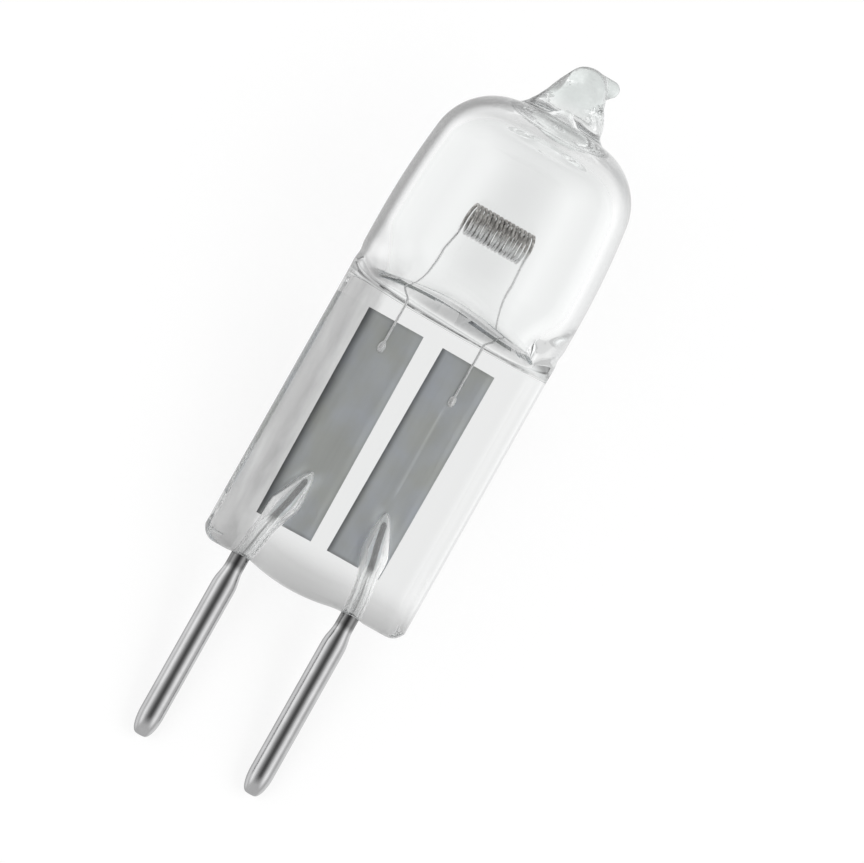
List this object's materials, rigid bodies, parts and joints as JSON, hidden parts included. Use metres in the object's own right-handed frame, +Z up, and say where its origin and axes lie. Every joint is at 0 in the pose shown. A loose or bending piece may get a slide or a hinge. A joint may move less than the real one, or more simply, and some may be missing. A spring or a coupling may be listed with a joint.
{
  "type": "halogen capsule bulb",
  "caption": "Clear quartz halogen capsule lamp with a flat pressed seal, molybdenum foils, a cross-wise coil filament, an exhaust tip and a two-pin base, lying on its back.",
  "frame": {"origin": "on the resting surface, under the middle of the lamp's bounding box", "axes": "+X along the lamp from its contact pins towards its exhaust tip, +Z up, +Y across to the left pin; the lamp lies on its back on its pin noses and the bulb's shoulder, so its axis rises 10.6 degrees towards +X"},
  "size_m": [0.0394, 0.0114, 0.0119],
  "materials": {
    "clear_quartz": "clear and polished",
    "tungsten_wire": "drawn wire, dull grey",
    "molybdenum_foil": "rolled foil, satin grey",
    "molybdenum_wire": "drawn wire, dark grey",
    "plated_pin": "bright nickel plating"
  },
  "bodies": {
    "root": {"quartz_envelope": "clear_quartz", "filament": "tungsten_wire", "left_foil": "molybdenum_foil", "right_foil": "molybdenum_foil", "left_outer_lead": "molybdenum_wire", "right_outer_lead": "molybdenum_wire", "left_pin": "plated_pin", "right_pin": "plated_pin"}
  },
  "joints": []
}
